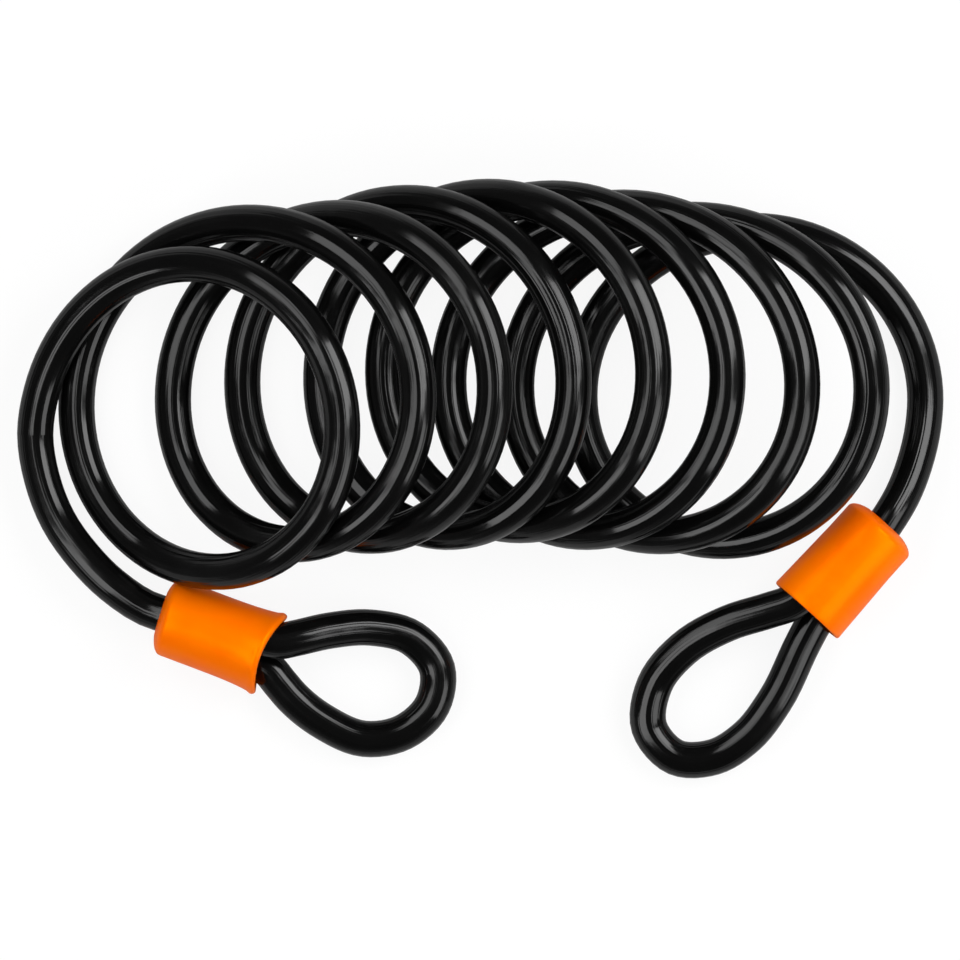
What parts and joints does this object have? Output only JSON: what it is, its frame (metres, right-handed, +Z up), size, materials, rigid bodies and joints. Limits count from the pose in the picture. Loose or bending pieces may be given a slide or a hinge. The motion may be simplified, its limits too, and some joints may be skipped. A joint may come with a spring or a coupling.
{
  "type": "self-coiling security cable",
  "caption": "Self-coiling steel security cable in a black plastic jacket, with a looped eye closed by a crimped ferrule and an orange sleeve at each end.",
  "frame": {"origin": "middle of the cable's outline in plan, on the surface that the coil lies on", "axes": "+X from the left eye's side of the coil to the right one's, along the row of turns; +Y away from the two eyes; +Z up"},
  "size_m": [0.3057, 0.1959, 0.069],
  "materials": {
    "jacket": "glossy black extruded vinyl",
    "rope": "galvanised steel wire rope",
    "ferrule": "plain pressed aluminium",
    "sleeve": "satin orange vinyl"
  },
  "bodies": {
    "coil": {"coil_jacket": "jacket", "coil_rope": "rope", "left_tail_jacket": "jacket", "left_tail_rope": "rope", "right_tail_jacket": "jacket", "right_tail_rope": "rope"},
    "left_end": {"left_eye_jacket": "jacket", "left_eye_rope": "rope", "left_ferrule": "ferrule", "left_sleeve": "sleeve"},
    "right_end": {"right_eye_jacket": "jacket", "right_eye_rope": "rope", "right_ferrule": "ferrule", "right_sleeve": "sleeve"}
  },
  "joints": [
    {"name": "left_end_swing", "type": "hinge", "parent": "coil", "child": "left_end", "pos_m": [-0.139, -0.014, 0.01], "axis": [0, 0, 1], "range_deg": [-30, 0], "stiffness_Nm_per_rad": 0.3, "deforming": ["left_tail_jacket", "left_tail_rope"]},
    {"name": "right_end_swing", "type": "hinge", "parent": "coil", "child": "right_end", "pos_m": [0.144, 0.005, 0.009], "axis": [0, 0, 1], "range_deg": [-6, 30], "stiffness_Nm_per_rad": 0.3, "deforming": ["right_tail_jacket", "right_tail_rope"]}
  ]
}
